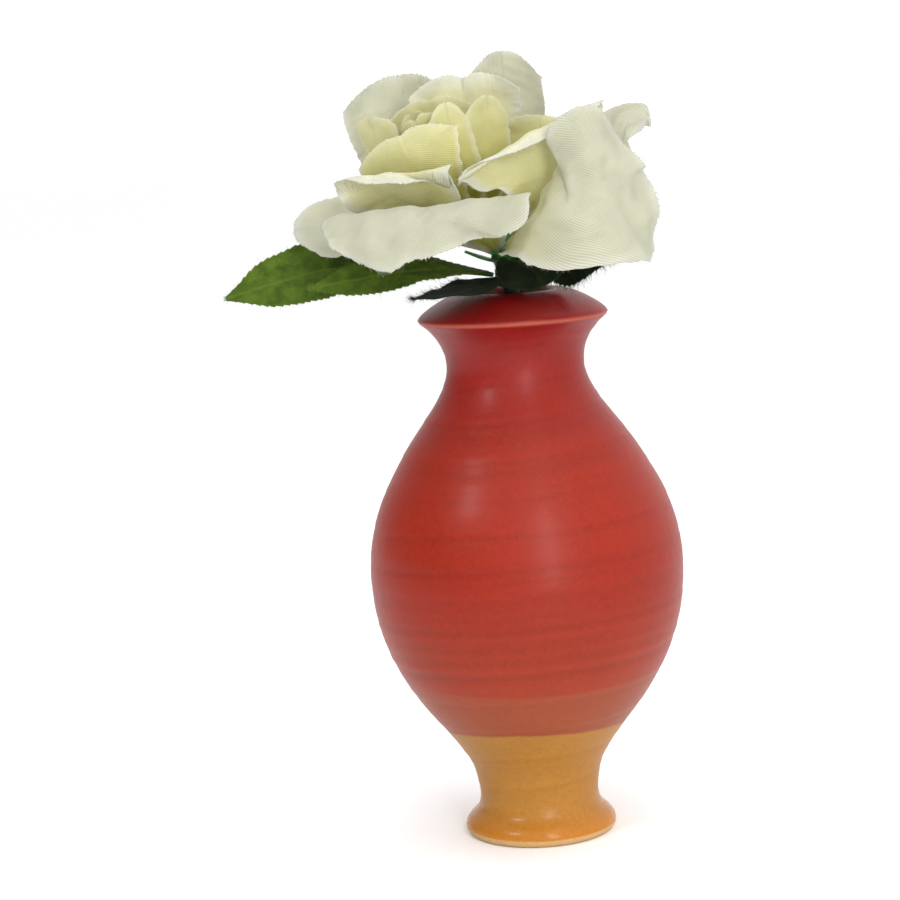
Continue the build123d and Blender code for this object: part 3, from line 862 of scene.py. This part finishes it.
# The green plastic made near black for the stem sheath and leaf collar: painted shade under the flower head.
SHADE_PAINTED_PLASTIC = plain_material("shade_painted_green_plastic", (0.006, 0.018, 0.004), 0.6, 1800.0)
WIRE = plain_material("stem_wire", (0.5, 0.5, 0.52), 0.35, 2500.0, metallic=1.0)
THREADS = {
    "outer": plain_material("pale_thread", (0.75, 0.74, 0.62), 0.8, 3000.0),
    "middle": plain_material("cream_thread", (0.74, 0.72, 0.46), 0.8, 3000.0),
    "inner": plain_material("yellow_thread", (0.72, 0.69, 0.36), 0.8, 3000.0),
    "leaf": plain_material("green_thread", (0.16, 0.26, 0.03), 0.8, 3000.0),
    # Threads of those leaves, near black as painted shade.
    "shade_painted_leaf": plain_material("shade_painted_thread", (0.008, 0.02, 0.005), 0.8, 3000.0),
}


# ---- vase ----
def build_vase():
    """The thrown wall turned from its outline, with shallow spiral throwing marks."""
    outline = []
    for stretch in (FOOT, FLANGE, BELLY, LIP, INSIDE):
        outline.extend(stretch)
    outline = np.array(outline)
    knots = np.concatenate([[0], np.cumsum(np.linalg.norm(np.diff(outline, axis=0), axis=1))])
    lines = int(knots[-1] / VASE_STEP)
    at = np.linspace(0, knots[-1], lines)
    line = along(knots, outline, at)
    line[:, 0] = np.maximum(line[:, 0], 0.0)
    ahead = unit(np.gradient(line, axis=0))
    outward = np.stack([ahead[:, 1], -ahead[:, 0]], 1)
    outside = (at < knots[len(FOOT) + len(FLANGE) + len(BELLY)]) & (line[:, 1] > 8)
    angle = np.arange(VASE_TURNS) * 2 * math.pi / VASE_TURNS
    # The angle from the front of the vase, from -pi to pi.
    round_front = (angle + math.pi / 2 + math.pi) % (2 * math.pi) - math.pi
    height = line[:, 1][:, None] + 0 * angle[None, :]
    turn = round_front[None, :] + 0 * height
    ring = np.zeros_like(height)
    for z, depth, half, reach in GROOVES:
        away = (height - z - GROOVE_SLOPE * turn) / half
        fade = np.exp(-((turn / reach) ** 4))
        ring -= depth * np.exp(-(away**2)) * fade
    for start in range(1, 5):
        climb = height / GROOVE_SLOPE
        ring += RIPPLE_DEPTH * np.sin(start * (climb - turn) + start * 1.7)
    ring *= outside[:, None]
    wobble = WALL_WOBBLE * waviness(height, turn * 30, 40.0, 3) * outside[:, None] * np.cos(turn / 2) ** 2
    radius = line[:, 0][:, None] + (ring + wobble) * outward[:, 0][:, None]
    up = height + (ring + wobble) * outward[:, 1][:, None]
    points = np.stack([radius * np.cos(angle), radius * np.sin(angle), up], -1)
    centre = line[:, 0] < 1e-3
    points[centre, :, :2] = 0.0
    faces = grid_faces(lines, VASE_TURNS, closed=True)
    vase = mesh_piece("vase", points.reshape(-1, 3), faces, GLAZE, "vase")
    set_numbers(vase.data, "ring", ring)
    weld = vase.modifiers.new("weld", "WELD")
    weld.merge_threshold = 1e-6
    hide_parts("vase_body")


# ---- petals and leaves ----
def blade_surface(shape, columns, lines, seed):
    """Points of a petal or leaf, with the flat cloth position and edge distance of each."""
    rows = np.array(shape["rows"])
    knots = np.concatenate([[0], np.cumsum(np.linalg.norm(np.diff(rows[:, :3], axis=0), axis=1))])
    length = knots[-1]
    u = np.linspace(-1, 1, columns)[None, :]
    ragged = waviness(u * 40, 0 * u, 1.1, seed + 5) * 0.006
    ragged = ragged + waviness(u * 40, 0 * u, 0.5, seed + 6) * 0.004
    reach = 1 - shape.get("tip", 0.0) * np.abs(u) ** 2.6 + ragged
    reach = reach - shape.get("notch", 0.0) * np.exp(-((u / 0.16) ** 2))
    reach = reach - shape.get("slant", 0.0) * np.clip((u + 0.3) / 1.3, 0, 1) ** 1.3
    t = np.linspace(0, 1, lines)[:, None]
    at = np.clip(t * reach, 0, 1) * length
    share = at / length
    rib = along(knots, rows[:, :3], at)
    step = length * 0.004
    ahead = along(knots, rows[:, :3], np.minimum(at + step, length))
    behind = along(knots, rows[:, :3], np.maximum(at - step, 0))
    tangent = unit(ahead - behind)
    claw_side, tip_side = (np.array(s, float) for s in shape["across"])
    side = claw_side * (1 - share[..., None]) + tip_side * share[..., None]
    side = unit(side - tangent * np.sum(side * tangent, -1, keepdims=True))
    face = np.cross(tangent, side)
    half = np.maximum(along(knots, rows[:, 3], at), 0.2)
    cup = along(knots, rows[:, 4], at)
    if "teeth" in shape:
        saw = (at / shape["teeth"]) % 1.0
        notching = 0.55 * saw * np.clip(half / 3, 0, 1)
        half = half - notching * np.abs(u) ** 8
    else:
        half = half + 0.20 * waviness(at, np.sign(u) * 30 + 0 * at, 1.3, seed + 9) * np.abs(u) ** 4
    across = u * half
    to_side = (1 - np.abs(u)) * half
    to_tip = (1 - t) * reach * length
    edge = np.minimum(to_side, to_tip)
    lift = cup * u**2
    if "teeth" in shape:
        lift = cup * np.abs(u) ** 1.1
    near_edge = np.clip(1 - edge / 9.0, 0, 1) ** 2
    perimeter = at * np.sign(u) / length + u * 0.9
    lift = lift + shape.get("ruffle", 0.0) * near_edge * np.sin(
        perimeter * math.pi * shape.get("waves", 2.0) + seed
    )
    grown = np.clip(share * 4, 0, 1)
    if "teeth" in shape:
        grown = grown * np.clip((np.abs(across) - 0.8) / 2.5, 0, 1)
        lift = lift + 0.12
    lift = lift + shape["wrinkle"] * waviness(across, at, 9.0, seed) * grown
    lift = lift + 0.25 * shape["wrinkle"] * waviness(across, at, 3.5, seed + 1) * grown
    points = rib + side * across[..., None] + face * lift[..., None]
    return points, across, at + 0 * u, edge, side, tangent, half, length


def build_fray(name, surface, look, body, count, reach, seed):
    """Loose cut threads along the two sides and the tip of a blade."""
    points, _, _, _, side, tangent, _, _ = surface
    lines, columns = points.shape[:2]
    dice = np.random.default_rng(seed)
    vertices, faces = [], []
    for _ in range(count):
        if dice.random() < FRAY_SIDE_SHARE:
            j = 0 if dice.random() < 0.5 else columns - 1
            i = int(lines * dice.uniform(0.3, 1.0)) - 1
            out = side[i, j] * (1 if j else -1) + tangent[i, j] * dice.uniform(-0.5, 0.7)
        else:
            i, j = lines - 1, int(dice.uniform(0, columns - 1))
            out = tangent[i, j] + side[i, j] * dice.uniform(-0.7, 0.7)
        out = out / np.linalg.norm(out)
        curl = dice.normal(0, 0.55, 3)
        long = reach * dice.uniform(0.25, 1.0) ** 2 + 0.25
        thick = dice.uniform(0.02, 0.04)
        start = points[i, j] - out * 0.3
        first = len(vertices)
        for k in range(4):
            s = k / 3
            centre = start + out * long * s + curl * long * s * s * 0.6
            for corner in range(3):
                a = corner * 2 * math.pi / 3
                spread = np.array([math.cos(a), math.sin(a), 0.5 * math.sin(a + 1)])
                vertices.append(centre + spread * thick * (1 - 0.6 * s))
        for k in range(3):
            for corner in range(3):
                a, b = first + k * 3 + corner, first + k * 3 + (corner + 1) % 3
                faces.append((a, b, b + 3, a + 3))
        faces.append((first + 2, first + 1, first))
        faces.append((first + 9, first + 10, first + 11))
    fray = mesh_piece(name, vertices, faces, THREADS[look], body)
    return fray


def build_blade(name, shape, body, grid, seed, threads):
    """One cloth petal or leaf in place of its CAD node, with its frayed edge."""
    columns, lines = grid
    fray_count, fray_reach = threads
    surface = blade_surface(shape, columns, lines, seed)
    points, across, at, edge, _, _, half, length = surface
    look = shape["look"]
    piece = mesh_piece(name + "_cloth", points.reshape(-1, 3), grid_faces(lines, columns), LOOKS[look], body)
    set_cloth_map(piece.data, across, at)
    set_numbers(piece.data, "claw", at)
    set_numbers(piece.data, "rim", edge)
    solid = piece.modifiers.new("cloth", "SOLIDIFY")
    solid.thickness = CLOTH_THICKNESS * MM
    solid.offset = 0.0
    fray = build_fray(name + "_fray", surface, look, body, fray_count, fray_reach, seed + 40)
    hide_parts(name)
    return piece


def build_petals():
    """All the petals and the sepal, on the flower's head."""
    for number, (name, shape) in enumerate(PETALS.items()):
        big = name.startswith(("outer", "middle"))
        grid = BIG_PETAL_GRID if big else SMALL_PETAL_GRID
        threads = BIG_PETAL_FRAY if big else SMALL_PETAL_FRAY
        if name == "sepal_front":
            threads = SEPAL_FRAY
        build_blade(name, shape, "head", grid, 10 + 3 * number, threads)


def build_leaves():
    """The four leaves, each on its own body."""
    for number, (name, shape) in enumerate(LEAVES.items()):
        threads = SHADE_PAINTED_LEAF_FRAY if shape["look"] == "shade_painted_leaf" else LEAF_FRAY
        build_blade(name, shape, name, LEAF_GRID, 80 + 3 * number, threads)


def finish_cad_nodes():
    """Materials for the CAD nodes that stay in view."""
    for name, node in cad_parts.items():
        if node.hide_render:
            continue
        node.data.materials.clear()
        # The stem sheath and leaf collar take the plastic darkened as painted shade.
        plain = SHADE_PAINTED_PLASTIC if name in ("stem_sheath", "leaf_collar") else PLASTIC
        node.data.materials.append(WIRE if name == "stem_wire" else plain)


# ---- floor, light and camera ----
def build_stage():
    """A pale seamless floor."""
    mesh = bpy.data.meshes.new("floor")
    far = FLOOR_HALF_WIDTH
    mesh.from_pydata([(-far, -far, 0), (far, -far, 0), (far, far, 0), (-far, far, 0)], [], [(0, 1, 2, 3)])
    g = Graph("floor")
    place = g.add("ShaderNodeTexCoord").outputs["Object"]
    colour = g.mix(g.noise(place, 3.0), (0.95, 0.95, 0.95, 1), (0.965, 0.965, 0.965, 1))
    shader = g.add("ShaderNodeBsdfPrincipled", {"Base Color": colour, "Roughness": 0.7}).outputs[0]
    mesh.materials.append(g.finish(shader))
    floor = bpy.data.objects.new("floor", mesh)
    bpy.context.scene.collection.objects.link(floor)


def area_light(name, place, aim, size, power, tall=None):
    """A soft area light, in metres, aimed at a point."""
    light = bpy.data.lights.new(name, "AREA")
    light.energy = power
    light.shape = "RECTANGLE"
    light.size = size
    light.size_y = tall or size
    lamp = bpy.data.objects.new(name, light)
    lamp.location = place
    lamp.rotation_euler = (Vector(aim) - Vector(place)).to_track_quat("-Z", "Y").to_euler()
    bpy.context.scene.collection.objects.link(lamp)


def build_lights():
    """An even white room that is dimmer on the left, and three soft lamps."""
    world = bpy.data.worlds.new("studio")
    world.use_nodes = True
    tree = world.node_tree
    background = tree.nodes["Background"]
    background.inputs[0].default_value = (1, 1, 1, 1)
    direction = tree.nodes.new("ShaderNodeTexCoord")
    parts = tree.nodes.new("ShaderNodeSeparateXYZ")
    dimming = tree.nodes.new("ShaderNodeMapRange")
    dimming.inputs["From Min"].default_value = ROOM_TURNS_FROM
    dimming.inputs["From Max"].default_value = ROOM_TURNS_TO
    dimming.inputs["To Min"].default_value = ROOM_LEFT
    dimming.inputs["To Max"].default_value = ROOM_RIGHT
    tree.links.new(direction.outputs["Generated"], parts.inputs[0])
    tree.links.new(parts.outputs[0], dimming.inputs["Value"])
    tree.links.new(dimming.outputs[0], background.inputs[1])
    bpy.context.scene.world = world
    # The Standard view, so that the white room and floor come out white.
    bpy.context.scene.view_settings.view_transform = "Standard"
    area_light("top_softbox", (0.15, -0.1, 0.95), (0, 0, 0.1), 0.7, 2.2)
    area_light("front_strip", (0.22, -0.70, 0.34), (0, 0, 0.08), 0.12, 2.6, tall=0.65)
    area_light("left_softbox", (-0.52, -0.42, 0.62), (0, 0, 0.09), 0.16, 1.6)


def build_camera():
    """The camera, in front of the rose and a little above it."""
    camera = bpy.data.cameras.new("camera")
    camera.lens = LENS
    camera.sensor_width = SENSOR_WIDTH
    camera.clip_start = 0.01
    eye = bpy.data.objects.new("camera", camera)
    turn = Matrix.Rotation(math.radians(CAMERA_LEFT), 4, "Z")
    tilt = Matrix.Rotation(math.radians(90 - CAMERA_DOWN), 4, "X")
    roll = Matrix.Rotation(math.radians(-CAMERA_ROLL), 4, "Z")
    eye.matrix_world = Matrix.Translation(Vector(CAMERA_PLACE) * MM) @ turn @ tilt @ roll
    bpy.context.scene.collection.objects.link(eye)
    bpy.context.scene.camera = eye


build_vase()
build_petals()
build_leaves()
finish_cad_nodes()
build_stage()
build_lights()
build_camera()
